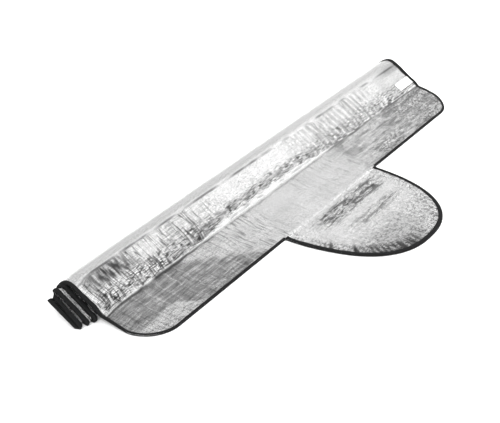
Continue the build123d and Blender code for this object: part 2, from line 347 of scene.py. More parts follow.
# ---- painted shade and reflection of the film ----
BARE_CREASE_T = (0.29, 0.60, 0.05)
LEFT_T = (-0.2, 0.29, 0.05)
RIGHT_T = (0.60, 0.86, 0.04)
CORNER_T = (0.86, 1.1, 0.04)
APRON_MIDDLE_T = (0.50, 0.70, 0.05)
APRON_LONG_T = (0.80, 0.93, 0.03)
APRON_BEYOND_T = (0.27, 0.38, 0.03)
APRON_RIGHT_T = (0.60, 0.70)
DARK_MIDDLE_T = (0.20, 0.62, 0.06)
UNDER_CREST_T = (0.025, 0.115, 0.025)
WIDE_STREAK_T = (0.09, 0.20, 0.03)
BROKEN_CREASE_T = (0.66, 0.97, 0.03)
END_GREY_T = (0.87, 0.91)
RIGHT_PATCH_S = (985, 1110, 25)  # millimetres along the roll
RIGHT_PATCH_L = (8, 55, 12)
LONG_CREASE_S = (830, 1150, 30)
LONG_CREASE_AT = (78, 0.14, 870)  # its distance back, its slant, and where that is measured
LONG_CREASE_APART = 21
RIB_SHADE_PITCH = 21.0
PAINTED_LIGHT_LINE_PITCH = (36.0, 22.0)  # of the painted light cross lines on the left of the apron
PAINTED_LIGHT_LINE_WIDE = (1.8, 1.4)
LEAST_TONE = 0.05

# How strong each kind of crease is in each part: across, along, crumpled. They raise bumps and also
# darken the film's colour as painted crease shade.
CREASES = {
    "slope": (0.14, 0.12, 0.24),
    "left_slope": (0.50, 0.0, 0.0),
    "left_slope_patches": (0.40, 0.28, -0.04),
    "right_slope": (0.28, 0.0, 0.0),
    "apron": (0.08, 0.10, 0.14),
    "left_apron": (0.28, 0.26, 0.0),
    "left_free_edge": (0.0, 0.0, 0.30),
    "middle_apron": (0.20, 0.0, 0.0),
    "right_apron": (0.0, 0.35, 0.0),
    "right_corner": (0.0, 0.0, 0.60),
    "right_patch": (0.0, 0.0, 0.80),
    "back": (0.25, 0.15, 0.40),
}


def outer_parts(s, l):
    """How much each place belongs to each part of the outer sheet, 0 to 1."""
    t = s / WIDTH
    top = crest_line(s)
    bare = window(t, *BARE_CREASE_T)
    slope_from = CREASE_L - 3 + 11 * bare + 5 * noise(s / 24, 2.2, 71)
    apron_to = CREASE_L - 5 - 2 * bare + 3 * noise(s / 35, 6.1, 72)
    slope = smooth(l, slope_from, slope_from + 4) * (1 - smooth(l, top - 5, top - 1))
    apron = 1 - smooth(l, apron_to - 4, apron_to)
    left, right = window(t, *LEFT_T), window(t, *RIGHT_T)
    patchy = np.clip(0.75 + waves(s, l, (1.1, 70, 45, 19)), 0.1, 1.4)
    return {
        "slope": slope * patchy,
        "left_slope": slope * left,
        "left_slope_patches": slope * left * patchy,
        "right_slope": slope * right,
        "apron": apron,
        "left_apron": apron * left,
        "left_free_edge": apron * left * (1 - smooth(l, 20, 70)),
        "middle_apron": apron * window(t, *APRON_MIDDLE_T),
        "right_apron": apron * window(t, *APRON_LONG_T),
        "right_corner": apron * window(t, *CORNER_T),
        "right_patch": apron * window(s, *RIGHT_PATCH_S) * window(l, *RIGHT_PATCH_L),
        "back": smooth(l, *BACK_FROM),
    }, slope, slope_from, apron_to


def slope_tone(tone, s, l, slope, right_slope):
    mottle = np.clip(0.5 + waves(s, l, (1, 45, 25, 21), (1, 13, 9, 17)), 0, 2)
    tone = tone * (1 - 0.10 * slope * mottle)
    # Painted reflection: bands of shade across the right slope, at the pitch of its ribs.
    ribs = 0.5 + 0.5 * np.sin(2 * math.pi * (s + waves(s, l, (9, 40, 90, 16))) / RIB_SHADE_PITCH)
    ribs = ribs * np.clip(0.8 + waves(s, l, (1, 30, 20, 15)), 0.2, 1.2)
    return tone * (1 - 0.34 * right_slope * ribs)


def left_apron_tone(tone, s, l, apron):
    """Painted dark reflection over the left of the free end, streaked along the roll, with painted
    light lines across it.
    """
    t = s / WIDTH
    split = (60 + 12 * noise(s / 70, 1.5, 22)) * (1 - smooth(t, 0.09, 0.15))
    reach = 0.24 + 0.0010 * (60 - l) + 0.02 * noise(l / 20, 1.0, 14)
    dark = (1 - smooth(t, reach, reach + 0.03)) * apron
    dark = dark * (smooth(l, split - 3, split + 3) * 0.88 + 0.12)
    painted_light_lines = 0.0
    for along, layer, pitch, wide in ((s, (11, 60, 30, 66), PAINTED_LIGHT_LINE_PITCH[0], PAINTED_LIGHT_LINE_WIDE[0]),
                                      (l, (7, 50, 30, 67), PAINTED_LIGHT_LINE_PITCH[1], PAINTED_LIGHT_LINE_WIDE[1])):
        painted_light_lines = painted_light_lines + line(np.mod(along + waves(s, l, layer), pitch) - pitch / 2, wide)
    dark_reflection_streaks = waves(s, l, (0.22, 26, 16, 23), (0.42, 75, 4.5, 73))
    tone = tone * (1 - dark * (0.50 + dark_reflection_streaks - 0.22 * np.clip(painted_light_lines, 0, 1)))
    # Painted reflection: streaky dark marks just beyond the dark area.
    beyond = window(t, *APRON_BEYOND_T) * apron
    return tone * (1 - 0.45 * beyond * smooth(waves(s, l, (1, 5, 38, 68)), 0.05, 0.35))


def right_apron_tone(tone, s, l, parts):
    """Painted reflection on the free end: a light darkening over it, and at its right dark streaks,
    patches, two long painted highlights along creases, and painted shade in its puckers and crumpled
    corner.
    """
    apron = parts["apron"]
    tone = tone * (1 - apron * 0.08 * (1 + waves(s, l, (1.5, 120, 50, 20))))
    back, slant, at = LONG_CREASE_AT
    off_crease = l - (back - slant * (s - at))
    long_crease_highlight = line(off_crease, 2.6) + line(off_crease + LONG_CREASE_APART, 2.2)
    long_crease_highlight = long_crease_highlight * window(s, *LONG_CREASE_S)
    right = apron * smooth(s / WIDTH, *APRON_RIGHT_T)
    patches = 0.30 * smooth(waves(s, l, (1, 70, 22, 13)), -0.05, 0.25)
    streaks = waves(s, l, (0.45, 60, 4.5, 74), (0.25, 14, 9, 78))
    tone = tone * (1 - right * (0.16 + patches + streaks))
    tone = tone + (1 - tone) * 0.85 * right * np.clip(long_crease_highlight, 0, 1)
    pucker_shade = smooth(waves(s, l, (1, 9, 8, 65)), 0.0, 0.3)
    tone = tone * (1 - 0.45 * window(s, *RIGHT_PATCH_S) * window(l, *RIGHT_PATCH_L) * pucker_shade)
    return tone * (1 - 0.6 * smooth(waves(s, l, (1, 7, 5, 12)), 0.12, 0.3) * parts["right_corner"])


def crest_painted_shade(tone, s, l):
    """Painted shade: the dark corner below the top fold, a broken dark line along the fold itself,
    the back beyond it, and the shade at its right end.
    """
    t = s / WIDTH
    top = crest_line(s)
    under = window(l, top - 42, top - 2, 9) * window(t, *UNDER_CREST_T)
    tone = tone * (1 - under * np.clip(0.66 + waves(s, l, (1.1, 8, 26, 24)), 0, 0.92))
    fold_shade = np.clip(0.95 + 1.3 * noise(s / 45, 2.5, 25) - 0.55 * smooth(t, 0.35, 0.6), 0, 1)
    tone = tone * (1 - 0.9 * line(l - top, 2.6) * fold_shade)
    tone = tone * (1 - 0.20 * smooth(l, top, top + 5))
    right_end = smooth(t, 0.90, 0.96) * (1 - smooth(t, 0.985, 1.0))
    return tone * (1 - 0.38 * window(l, top - 16, top + 12, 7) * right_end)


def crease_painted_shade(tone, s, l, slope_from, apron_to):
    """Painted shade: dark streaks in front of the crease, on it and just above it."""
    t = s / WIDTH
    streak_at = apron_to - 3 + 1.5 * noise(s / 60, 3.5, 26)
    streak = line(l - streak_at, 2.4 + 2.8 * window(t, *WIDE_STREAK_T))
    streak = streak * np.clip(1.0 + 1.8 * noise(s / 50, 4.5, 27), 0, 1)
    depth = 0.45 + 0.50 * window(t, *LEFT_T) + 0.45 * smooth(t, 0.62, 0.70)
    tone = tone * (1 - depth * streak)
    broken = window(l, apron_to, slope_from + 4, 2.5) * window(t, *BROKEN_CREASE_T)
    tone = tone * (1 - 0.9 * broken * smooth(waves(s, l, (1, 24, 5, 79)), -0.15, 0.20))
    fold = line(l - CREASE_L - 3 - 3 * noise(s / 25, 5.5, 29), 2.0)
    tone = tone * (1 - 0.45 * fold * np.clip(0.3 + 2 * noise(s / 30, 6.5, 30), 0, 1))
    band = window(l, slope_from + 6, slope_from + 26 + 8 * noise(s / 60, 9.1, 75), 5)
    band = band * window(t, *DARK_MIDDLE_T)
    return tone * (1 - 0.42 * band * np.clip(0.6 + waves(s, l, (1.6, 34, 6, 76)), 0, 1.5))


def outer_maps(s, l):
    """Crease kinds (across, along, crumpled), painted shade and reflection with some random mottle,
    and dark dashes of the outer sheet.
    """
    parts, slope, slope_from, apron_to = outer_parts(s, l)
    # Painted shade: the slope greys towards its right end, where its creases also calm.
    end_grey = slope * smooth(s / WIDTH, *END_GREY_T)
    # Painted highlight: the tone goes to full along the slope's left edge, and the dashes stop
    # there.
    rim = slope * (1 - smooth(s, 14, 24))
    calm = 1 - 0.8 * end_grey
    creases = tuple(calm * sum(CREASES[part][k] * parts[part] for part in CREASES) for k in range(3))

    tone = slope_tone(1.0, s, l, slope, parts["right_slope"])
    tone = left_apron_tone(tone, s, l, parts["apron"])
    tone = right_apron_tone(tone, s, l, parts)
    tone = crest_painted_shade(tone, s, l) * (1 - 0.22 * end_grey)
    tone = tone + (1 - tone) * rim
    tone = crease_painted_shade(tone, s, l, slope_from, apron_to)

    # Painted reflection: dark dashes over the lower slope, in clusters.
    low_end = CREASE_L + 50 + 14 * noise(s / 80, 0.7, 18)
    low = slope * (1 - smooth(l, CREASE_L + 28, low_end))
    clusters = np.clip(0.85 + waves(s, l, (1.3, 26, 10, 69)), 0.3, 1.2)
    dashes = low * clusters * (1 - 0.25 * window(s / WIDTH, *RIGHT_T)) * (1 - rim)
    dashes = dashes + 0.12 * parts["left_slope"]
    return creases, np.clip(tone, LEAST_TONE, 1), dashes


# The tab's spans are millimetres from its middle line (X) or out from the free edge (Y), or
# shares of the way out to its edge (R).
STREAKS_Y = ((16, 62, 10), (92, 122, 9))
STREAKS_X = ((-120, 150, 40), (-70, 130, 40))
STREAKS_STRENGTH = (1.0, 0.6)
TAB_WAVES_Y = (8, 120, 20)
PUCKER_R = (0.80, 1.03, 0.07)
RIM_R = (0.84, 1.03, 0.05)
HIGHLIGHT_R = (0.87, 0.97, 0.02)
POLAR_POWER = 0.43


def tab_relief(x, y):
    """Height of the film on the tab: x from its middle line, y out from the free edge."""
    r, angle = tab_polar(x, y)
    streaks = noise(x / 120 + 2, (y + waves(x, y, (6, 50, 50, 30))) / 15, 31)
    h = 1.8 * streaks * window(y, *TAB_WAVES_Y) * (0.35 + 0.9 * smooth(x, -170, 60))
    h = h + waves(x, y, (0.8, 60, 60, 34))
    h = h + 0.6 * crumple(x, y, 30, 32) * (0.2 + 0.8 * smooth(x, -60, 150))
    pucker = noise(angle * 13, r * 2.2, 35) + 0.5 * noise(angle * 29, r * 3, 36)
    return h + 2.6 * pucker * window(r, *PUCKER_R) * (0.35 + 0.65 * smooth(-x, -80, 60))


def tab_polar(x, y):
    """How far out towards the tab's edge a place is (1 at the edge), and in what direction."""
    half = TAB_WIDTH / 2
    r = (np.abs(x / half) ** TAB_POWER_X + np.abs(y / TAB_LENGTH) ** TAB_POWER_Y) ** POLAR_POWER
    return r, np.arctan2(y * half / TAB_LENGTH, x)


def tab_maps(x, y):
    """Crease kinds, shade and dashes of the tab. Its shade is painted reflection: streaks, a darker
    far left, painted shade in the rim's puckers and a painted highlight on the rim's far right.
    """
    r, angle = tab_polar(x, y)
    rim = window(r, *RIM_R)
    streaky = sum(k * window(y, *in_y) * window(x, *in_x)
                  for k, in_y, in_x in zip(STREAKS_STRENGTH, STREAKS_Y, STREAKS_X))
    across = 0.12 + 0.4 * rim * smooth(y, 150, 220)
    along = 0.12 + 0.7 * streaky
    crumpled = 0.15 + 0.45 * smooth(y, 110, 200) + 0.5 * rim + 0.5 * streaky
    tone = 1.0 - 0.30 * smooth(y, 120, 210) * smooth(-x, -90, 40) + waves(x, y, (0.14, 60, 40, 37))
    streak = smooth(waves(x, y, (1, 75, 9, 38), (0.5, 16, 6, 77)), 0.0, 0.25) * streaky
    tone = tone * (1 - 0.72 * streak)
    tone = tone * (1 - 0.30 * smooth(waves(x, y, (1, 9, 9, 80)), 0.05, 0.3) * smooth(y, 110, 190))
    lower = smooth(-x, -30, 60) * smooth(y, 40, 110)
    # Painted shade in the rim's puckers on the tab's left half.
    pucker_shade = smooth(noise(angle * 24, r * 2.5, 39), -0.05, 0.2) * rim * lower
    tone = tone * (1 - 0.85 * pucker_shade)
    # Painted highlight along the rim at the tab's far right.
    bright = window(r, *HIGHLIGHT_R) * smooth(x, -30, 60) * smooth(y, 120, 190)
    tone = tone + (1.0 - tone) * bright * 0.9
    return (across, along, crumpled), np.clip(tone, LEAST_TONE, 1), 0.6 * rim * lower


# ---- mesh building ----
def grid_faces(columns, rows, start=0, flip=False):
    i, j = np.meshgrid(np.arange(columns - 1), np.arange(rows - 1), indexing="ij")
    a = start + i * rows + j
    faces = np.stack([a, a + rows, a + rows + 1, a + 1], axis=-1).reshape(-1, 4)
    return faces[:, ::-1] if flip else faces


def new_object(name, data):
    thing = bpy.data.objects.new(name, data)
    bpy.context.collection.objects.link(thing)
    return thing


def make_object(name, points, faces):
    mesh = bpy.data.meshes.new(name)
    faces = np.asarray(faces)
    mesh.vertices.add(len(points))
    mesh.vertices.foreach_set("co", np.asarray(points, np.float32).ravel())
    mesh.loops.add(faces.size)
    mesh.loops.foreach_set("vertex_index", faces.astype(np.int32).ravel())
    mesh.polygons.add(len(faces))
    mesh.polygons.foreach_set("loop_start", np.arange(len(faces), dtype=np.int32) * 4)
    mesh.update(calc_edges=True)
    mesh.validate()
    mesh.polygons.foreach_set("use_smooth", np.ones(len(mesh.polygons), bool))
    mesh.set_sharp_from_angle(angle=math.radians(55))
    return new_object(name, mesh)


def slab_faces(columns, rows):
    """Two grids, one over the other, closed by a rim."""
    count = columns * rows
    at = np.arange(count).reshape(columns, rows)
    loop = np.concatenate([at[0], at[1:, -1], at[-1, -2::-1], at[-2:0:-1, 0]])
    after = np.roll(loop, -1)
    rim = np.stack([loop, after, after + count, loop + count], axis=-1)
    return np.concatenate([grid_faces(columns, rows), grid_faces(columns, rows, count, True), rim])


def slab(name, top, bottom):
    """A closed piece between two grids of points."""
    points = np.concatenate([top.reshape(-1, 3), bottom.reshape(-1, 3)])
    return make_object(name, points, slab_faces(*top.shape[:2]))


def write_vector(piece, name, x, y, z, scale=1.0, sides=2):
    """One vector for each vertex, for the materials. A slab has the same on both sides."""
    values = np.stack([np.broadcast_to(v, x.shape).ravel() for v in (x, y, z)], axis=-1) * scale
    values = np.tile(values, (sides, 1)).astype(np.float32)
    attribute = piece.data.attributes.new(name, "FLOAT_VECTOR", "POINT")
    attribute.data.foreach_set("vector", values.ravel())


def sheet_piece(name, sheet, s, l, relief, maps, under=-HALF_MAT):
    """A film-faced sheet, with how strong each kind of crease is there, its shade and dashes."""
    top = sheet.place(s, l, HALF_MAT + relief)
    piece = slab(name, top, sheet.place(s, l, np.full(s.shape, under)))
    zones, tone, dashes = maps
    write_vector(piece, "flat", s, l, 0.0, MM)
    write_vector(piece, "zones", *zones)
    write_vector(piece, "shade", tone, dashes, 0.0)
    return piece


COLUMNS = 620  # along the roll, less those of the rounded corners
FREE_END_ROWS = 74
CREST_ROWS = 66
INNER_ROWS = 240
TAB_GRID = (181, 110)
INSET = 0.5  # the mat's edge lies inside the tape's fold


def edge_spaced():
    """Places along the roll, closer together at the rounded corners."""
    start = CORNER * (1 - np.cos(np.linspace(0, 1, 26) * math.pi / 2))
    middle = np.linspace(CORNER, WIDTH - CORNER, COLUMNS)[1:-1]
    return np.concatenate([start, middle, (WIDTH - start)[::-1]])


def front_edge(s):
    """Where the mat starts behind the free edge line: its rounded front corners."""
    near = np.minimum(s, WIDTH - s)
    curve = CORNER - np.sqrt(np.clip(CORNER ** 2 - (CORNER - near) ** 2, 0, None))
    return np.where(near < CORNER, curve, 0.0)


def side_distance(s, l):
    side = np.minimum(s, WIDTH - s)
    near = np.clip(CORNER - side, 0, None)
    corner = CORNER - np.hypot(near, np.clip(CORNER - l, 0, None))
    free = np.where(np.abs(s - TAB_CENTRE) < TAB_WIDTH / 2, 99.0, l)
    return np.minimum(np.where((side < CORNER) & (l < CORNER), corner, side), free)


def outer_piece(name, start, end, rows):
    """A stretch of the outer sheet, from one distance behind the free edge to another."""
    s = edge_spaced()
    low = np.maximum(start, front_edge(s) + INSET) if start <= CORNER else np.full_like(s, start)
    l = low[:, None] + (end - low[:, None]) * np.linspace(0, 1, rows)[None, :]
    s = np.broadcast_to(np.clip(s, INSET, WIDTH - INSET)[:, None], l.shape).copy()
    relief = outer_relief(s, l) * edge_fade(side_distance(s, l))
    return sheet_piece(name, OUTER, s, l, relief, outer_maps(s, l))


def flat_grid(s, l):
    return (g.copy() for g in np.meshgrid(s, l, indexing="ij"))


def build_inner():
    s = np.concatenate([np.linspace(INSET, 60, 34), np.linspace(70, WIDTH - INSET, 80)])
    s, l = flat_grid(s, np.linspace(0, INNER.length - 0.5, INNER_ROWS))
    creases = np.full(s.shape, 0.4)
    shade = 0.9 + 0.1 * noise(s / 60, l / 40, 51)
    relief = 0.25 * crumple(s, l, 20, 50)
    maps = ((creases, creases, creases), shade, 0.0 * shade)
    return sheet_piece("inner_turns_sheet", INNER, s, l, relief, maps)


class TabSheet:
    """The tab lies flat; its flat pattern is x from its middle and y out from the edge."""
    LAP = 5.0  # seam allowance that lies on the mat
    LAP_RISE = 2.4
    SPREAD = 6.0  # the left root reaches a little along the edge

    @staticmethod
    def place(x, y, height):
        x, y, height = np.broadcast_arrays(x, y, height)
        rise = TabSheet.LAP_RISE * (1 - smooth(y, -2.0, 5.0)) * (height > -HALF_EDGE)
        z = FLOOR_MID + height + rise
        x = x - TabSheet.SPREAD * smooth(-x, 60, 208) * (1 - smooth(y, 0, 140))
        return np.stack([x + TAB_CENTRE + LEFT_X, FREE_Y - y, z], axis=-1) * MM


def build_tab():
    half = TAB_WIDTH / 2 - INSET
    columns, rows = TAB_GRID
    x = half * np.sin(np.linspace(-math.pi / 2, math.pi / 2, columns))
    left_over = np.clip(1 - np.abs(x / half) ** TAB_POWER_X, 0, 1)
    reach = (TAB_LENGTH - INSET) * left_over ** (1 / TAB_POWER_Y)
    y = -TabSheet.LAP + (reach[:, None] + TabSheet.LAP) * np.linspace(0, 1, rows)[None, :]
    x = np.broadcast_to(x[:, None], y.shape).copy()
    r, _ = tab_polar(x, np.clip(y, 0, None))
    relief = tab_relief(x, y) * edge_fade((1 - r) * 200) * smooth(y, -4, 6)
    under = np.where(y < 4, -1.0, -HALF_MAT)
    return sheet_piece("tab_sheet", TabSheet, x, y, relief, tab_maps(x, y), under)


# ---- edge tape and stitching ----
# The tape's section: distance in from the edge, height over the mat's middle.
TAPE_SECTION = np.array([
    (8.0, 2.35), (7.4, 2.62), (4.5, 2.72), (2.0, 2.66), (0.8, 2.3), (0.15, 1.4), (0.0, 0.0),
    (0.15, -1.4), (0.8, -2.1), (2.0, -2.3), (8.0, -2.3),
    (8.0, -1.92), (1.2, -1.9), (0.6, 0.0), (1.2, 1.92), (8.0, 1.95)])
# How far each tape reaches in and how high it bulges, against the section above.
# The inner turns' left tape is real, but made bulkier so that its black also fills the shade between
# the turns.
TAPE_BULKED_FOR_SHADE = (1.2, 1.45)
FLAT_TAPE = (0.88, 0.95)
ROLL_TAPE = (1.15, 1.15)
RIGHT_WIDER = 1.75  # the right side's tape shows more of its face
TAB_TAPE = (1.35, 1.10)
BACK_STEPS = 110
INNER_STEPS = 420


def tape_piece(name, place, path, inward, reach_by=1.0, rise_by=1.0):
    """A tape folded round an edge: path and inward are flat-pattern arrays (n, 2)."""
    n, m = len(path), len(TAPE_SECTION)
    run = run_along(path)
    waver = 1 + 0.10 * noise(run / 40, 0.3, 60)[:, None]
    reach_by, rise_by = (np.broadcast_to(v, n)[:, None] for v in (reach_by, rise_by))
    reach = TAPE_SECTION[None, :, 0] * waver * reach_by
    flat = path[:, None, :] + inward[:, None, :] * reach[..., None]
    pucker = 1 + 0.09 * noise(run / 7, 4.2, 61)[:, None]
    height = TAPE_SECTION[None, :, 1] * rise_by
    height = np.where(height > 0, height * pucker, height)
    points = place(flat[..., 0], flat[..., 1], height).reshape(-1, 3)
    i, j = np.meshgrid(np.arange(n - 1), np.arange(m), indexing="ij")
    a, b = i * m + j, i * m + (j + 1) % m
    faces = np.stack([a, b, b + m, a + m], axis=-1).reshape(-1, 4)
    caps = []
    for base in (0, (n - 1) * m):
        for k in range(5):
            quad = [base + k, base + k + 1, base + (m - 2 - k), base + (m - 1 - k)]
            caps.append(quad if base else quad[::-1])
    piece = make_object(name, points, np.concatenate([faces, np.array(caps)]))
    across = np.cumsum(np.abs(TAPE_SECTION[:, 0] - np.roll(TAPE_SECTION[:, 0], 1)))
    along, across = np.broadcast_arrays(run[:, None], across[None, :])
    write_vector(piece, "flat", along, across, 0.0, MM, sides=1)
    return piece


STITCH_PITCH = 4.2
STITCH_LONG = 2.9
STITCH_SIDES = 6
STITCH_RADIUS = 0.32
STITCH_INSET = 5.6
STITCH_HEIGHT = 2.78


def stitch_faces():
    """One stitch: a bead of five rings with a cap of two quads at each end."""
    n = STITCH_SIDES
    first = np.arange(n)
    ring = np.stack([first, (first + 1) % n, (first + 1) % n + n, first + n], axis=-1)
    start = [[3, 2, 1, 0], [5, 4, 3, 0]]
    end = np.array([[0, 1, 2, 3], [0, 3, 4, 5]]) + 4 * n
    return np.concatenate([ring + n * k for k in range(4)] + [start, end])


def stitch_piece(name, place, path, inward):
    """A row of separate stitches along a tape, each a small bent bead of thread."""
    run = run_along(path)
    thread = path + inward * STITCH_INSET
    count = int(run[-1] / STITCH_PITCH)
    share = np.linspace(-1, 1, 5)
    at = (np.arange(count)[:, None] + 0.5) * STITCH_PITCH + share * STITCH_LONG / 2
    s, l = np.interp(at, run, thread[:, 0]), np.interp(at, run, thread[:, 1])
    lift = STITCH_HEIGHT - 0.5 * share ** 2
    centre = place(s, l, lift)
    along = np.gradient(centre, axis=1)
    up = place(s, l, lift + 1.0) - centre
    along, up = (v / np.linalg.norm(v, axis=2, keepdims=True) for v in (along, up))
    side = np.cross(along, up)
    radius = STITCH_RADIUS * MM * np.sqrt(np.maximum(0.05, 1 - 0.9 * share ** 4))
    turn = np.arange(STITCH_SIDES) * 2 * math.pi / STITCH_SIDES
    ring = np.cos(turn)[:, None] * side[:, :, None] + np.sin(turn)[:, None] * up[:, :, None]
    points = centre[:, :, None] + radius[:, None, None] * ring
    faces = stitch_faces() + (np.arange(count) * 5 * STITCH_SIDES)[:, None, None]
    return make_object(name, points.reshape(-1, 3), faces.reshape(-1, 4))


def front_path(mirror):
    """From the tab's root, along the free edge, round the corner and back to mid-slope."""
    root = TAB_CENTRE - TAB_WIDTH / 2 + 1.0 - (0.0 if mirror else TabSheet.SPREAD)
    straight = [(s, 0.0) for s in np.linspace(root, CORNER, 120)]
    turns = [(math.sin(a), math.cos(a)) for a in np.linspace(0, math.pi / 2, 40)[1:]]
    round_corner = [(CORNER - CORNER * x, CORNER - CORNER * y) for x, y in turns]
    side = [(0.0, l) for l in np.linspace(CORNER, MID_SLOPE_L, 60)[1:]]
    inward = [(0.0, 1.0)] * len(straight) + turns + [(1.0, 0.0)] * len(side)
    return mirrored(np.array(straight + round_corner + side), np.array(inward), mirror)


def mirrored(path, inward, mirror):
    if mirror:
        path = path * [-1, 1] + [WIDTH, 0]
        inward = inward * [-1, 1]
    return path, inward


def side_path(start, end, steps, mirror):
    path = np.stack([np.zeros(steps), np.linspace(start, end, steps)], axis=-1)
    return mirrored(path, np.tile([1.0, 0.0], (steps, 1)), mirror)


def tab_path():
    """Round the tab's outline, a superellipse, from its right root to its left one."""
    angle = np.linspace(0, math.pi, 260)
    c, s = np.cos(angle), np.sin(angle)
    x = np.sign(c) * np.abs(c) ** (2 / TAB_POWER_X) * (TAB_WIDTH / 2)
    path = np.stack([x, np.abs(s) ** (2 / TAB_POWER_Y) * TAB_LENGTH], axis=-1)
    ahead = np.gradient(path, axis=0)
    ahead /= np.linalg.norm(ahead, axis=1, keepdims=True)
    return path, np.stack([-ahead[:, 1], ahead[:, 0]], axis=-1)


LABEL_MIDDLE = 1350.0  # along the roll
LABEL_UP = 21.0  # up the slope from the crease
LABEL_SIZE = (70.0, 26.0)
LABEL_OFF = 1.3  # over the film


def build_label():
    s = np.linspace(-0.5, 0.5, 30) * LABEL_SIZE[0] + LABEL_MIDDLE
    l = np.linspace(-0.5, 0.5, 12) * LABEL_SIZE[1] + CREASE_L + LABEL_UP
    s, l = flat_grid(s, l)
    curl = 0.4 * noise(s / 20, l / 15, 70)
    faces = [OUTER.place(s, l, HALF_MAT + LABEL_OFF + off + curl) for off in (0.3, -1.0)]
    piece = slab("plain_label", *faces)
    write_vector(piece, "flat", s, l, 0.0, MM)
    return piece


# ---- materials ----
def new_material(name):
    material = bpy.data.materials.new(name)
    material.use_nodes = True
    tree = material.node_tree
    return material, tree, tree.nodes["Principled BSDF"]


def connect(tree, value, socket):
    """Set a socket to a plain value, or link another node's output to it."""
    if isinstance(value, bpy.types.NodeSocket):
        tree.links.new(value, socket)
    else:
        socket.default_value = value


def add(tree, kind, **values):
    """A node, with its properties and its named inputs set or linked."""
    node = tree.nodes.new(kind)
    for key, value in values.items():
        if key in node.inputs:
            connect(tree, value, node.inputs[key])
        else:
            setattr(node, key, value)
    return node


def maths(tree, operation, *values):
    node = add(tree, "ShaderNodeMath", operation=operation)
    for value, socket in zip(values, node.inputs):
        connect(tree, value, socket)
    return node.outputs[0]


def chain(tree, operation, values):
    result = values[0]
    for value in values[1:]:
        result = maths(tree, operation, result, value)
    return result


def multiply(tree, *values):
    return chain(tree, "MULTIPLY", values)


def total_of(tree, *values):
    return chain(tree, "ADD", values)


def ranged(tree, value, span, result=(0.0, 1.0), kind="SMOOTHSTEP"):
    """A value carried from one span to another, and held at its ends."""
    node = add(tree, "ShaderNodeMapRange", interpolation_type=kind)
    connect(tree, value, node.inputs["Value"])
    for name, limit in zip(("From Min", "From Max", "To Min", "To Max"), span + result):
        node.inputs[name].default_value = limit
    return node.outputs["Result"]


def noise_node(tree, place, **values):
    node = add(tree, "ShaderNodeTexNoise", **values)
    if place is not None:
        tree.links.new(place, node.inputs["Vector"])
    return node.outputs["Fac"]


def attribute(tree, name):
    return add(tree, "ShaderNodeAttribute", attribute_name=name).outputs["Vector"]


def parts_of(tree, name):
    """The three numbers of a vertex attribute."""
    split = add(tree, "ShaderNodeSeparateXYZ")
    tree.links.new(attribute(tree, name), split.inputs[0])
    return list(split.outputs)


def scaled_place(tree, source, along, across):
    """Flat-pattern places divided by a crease spacing in each direction."""
    node = add(tree, "ShaderNodeVectorMath", operation="MULTIPLY")
    node.inputs[1].default_value = (1 / along, 1 / across, 1.0)
    tree.links.new(source, node.inputs[0])
    return node.outputs[0]


def thin_lines(tree, place, width, detail):
    """Thin wandering lines: 1 on the line, 0 away from it."""
    grain = noise_node(tree, place, Scale=1.0, Detail=detail, Roughness=0.5)
    away = maths(tree, "ABSOLUTE", maths(tree, "SUBTRACT", grain, 0.5))
    return ranged(tree, away, (0.0, width), (1.0, 0.0))


def bumped(tree, shader, height, strength, depth):
    bump = add(tree, "ShaderNodeBump", Strength=strength, Distance=depth, Height=height)
    tree.links.new(bump.outputs["Normal"], shader.inputs["Normal"])


# The film's creases of each kind: spacing along and across the roll in mm, width, detail, share.
CREASE_LINES = (
    ((14.0, 170.0, 0.028, 2.0, 1.0), (6.0, 70.0, 0.05, 2.0, 0.25)),  # across the roll
    ((90.0, 11.0, 0.035, 2.0, 1.0), (35.0, 4.5, 0.05, 2.0, 0.5)),  # along it
    ((16.0, 12.0, 0.03, 5.0, 1.0),),  # crumpled
)
MOST_CREASE = 1.3
DASH_SPACING = (17.0, 2.5)
DASH_SPAN = (0.46, 0.60)
DASH_DARKENING = 0.86
SPECKLE_SPAN = (0.46, 0.66)
SPECKLE_LEAST = 0.80  # how dark the painted shade of the film's finest dimples goes
DARKEST_FILM = 0.03
FOIL_DEPTH = 0.0011  # of its bumps, in metres


